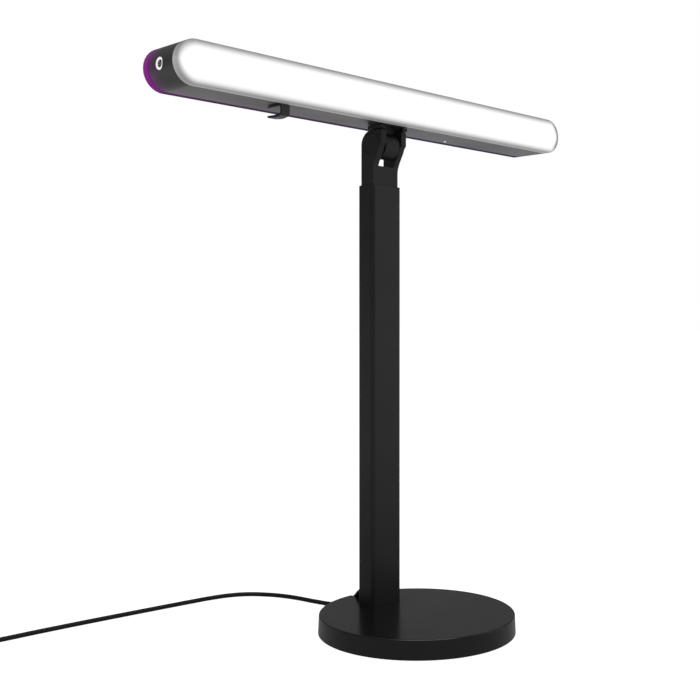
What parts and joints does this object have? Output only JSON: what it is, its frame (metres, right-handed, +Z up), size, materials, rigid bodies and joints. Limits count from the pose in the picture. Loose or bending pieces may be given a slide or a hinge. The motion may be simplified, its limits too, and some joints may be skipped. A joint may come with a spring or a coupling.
{
  "type": "desk light bar",
  "caption": "Long lit bar that tilts on a telescoping rectangular post standing on a round weighted base, with a side power button, a coloured rear light and a lead with a plug.",
  "frame": {"origin": "centre of the round base, on the plane it stands on", "axes": "+X along the light bar, away from the power button; -Y the side the main light faces; +Z up, along the post"},
  "size_m": [0.4395, 0.2345, 0.3516],
  "materials": {
    "black_metal": "fine matt powder coat",
    "black_plastic": "fine moulded texture",
    "housing_plastic": "satin, slightly glossy",
    "rubber": "matt",
    "steel": "zinc plated",
    "weight_iron": "as cast",
    "aluminium": "mill finish",
    "opal_white": "opal diffusing plastic, lit white",
    "colour_panel": "frosted diffusing plastic, lit in changing colours",
    "circuit_board": "solder mask",
    "cord_sheath": "smooth satin sheath"
  },
  "bodies": {
    "base": {"base_cover": "black_metal", "base_weight": "weight_iron", "base_plate": "black_plastic", "foot_pad": "rubber", "cover_screw_1": "steel", "cover_screw_2": "steel", "cover_screw_3": "steel", "post_screw_1": "steel", "post_screw_2": "steel", "post_foot": "weight_iron", "outer_tube": "black_metal", "cord_grommet": "rubber", "coiled_lead": "cord_sheath", "power_cord": "cord_sheath", "power_cord_coil": "cord_sheath", "power_cord_tail": "cord_sheath", "cord_tie": "rubber", "usb_plug_body": "black_plastic", "usb_plug_shell": "steel"},
    "mast": {"inner_tube": "black_metal", "slider_shoe": "opal_white", "friction_spring": "steel", "fork_head": "black_plastic", "pivot_bolt": "steel", "pivot_nut": "steel", "pivot_cap_left": "black_plastic", "pivot_cap_right": "black_plastic", "friction_washer_left": "black_plastic", "friction_washer_right": "black_plastic", "mast_lead": "cord_sheath"},
    "light_bar": {"tilt_bracket": "black_plastic", "bracket_screw_1": "steel", "bracket_screw_2": "steel", "bar_housing": "housing_plastic", "front_diffuser": "opal_white", "rear_diffuser": "colour_panel", "light_guide": "opal_white", "front_led_board": "circuit_board", "heat_spreader": "aluminium", "rear_led_board": "circuit_board", "control_board": "circuit_board", "tact_switch": "steel", "button_ring": "opal_white", "cable_clip": "black_plastic", "status_light": "opal_white", "head_lead": "cord_sheath"},
    "power_button": {"power_button": "black_plastic"}
  },
  "joints": [
    {"name": "height_slide", "type": "slide", "parent": "base", "child": "mast", "axis": [0, 0, 1], "range_m": [0, 0.15]},
    {"name": "head_tilt", "type": "hinge", "parent": "mast", "child": "light_bar", "pos_m": [0, 0.03035, 0.314], "axis": [1, 0, 0], "range_deg": [-90, 0]},
    {"name": "power_press", "type": "slide", "parent": "light_bar", "child": "power_button", "axis": [1, 0, 0], "range_m": [0, 0.0005], "stiffness_N_per_m": 600, "springref_m": -0.0005}
  ]
}
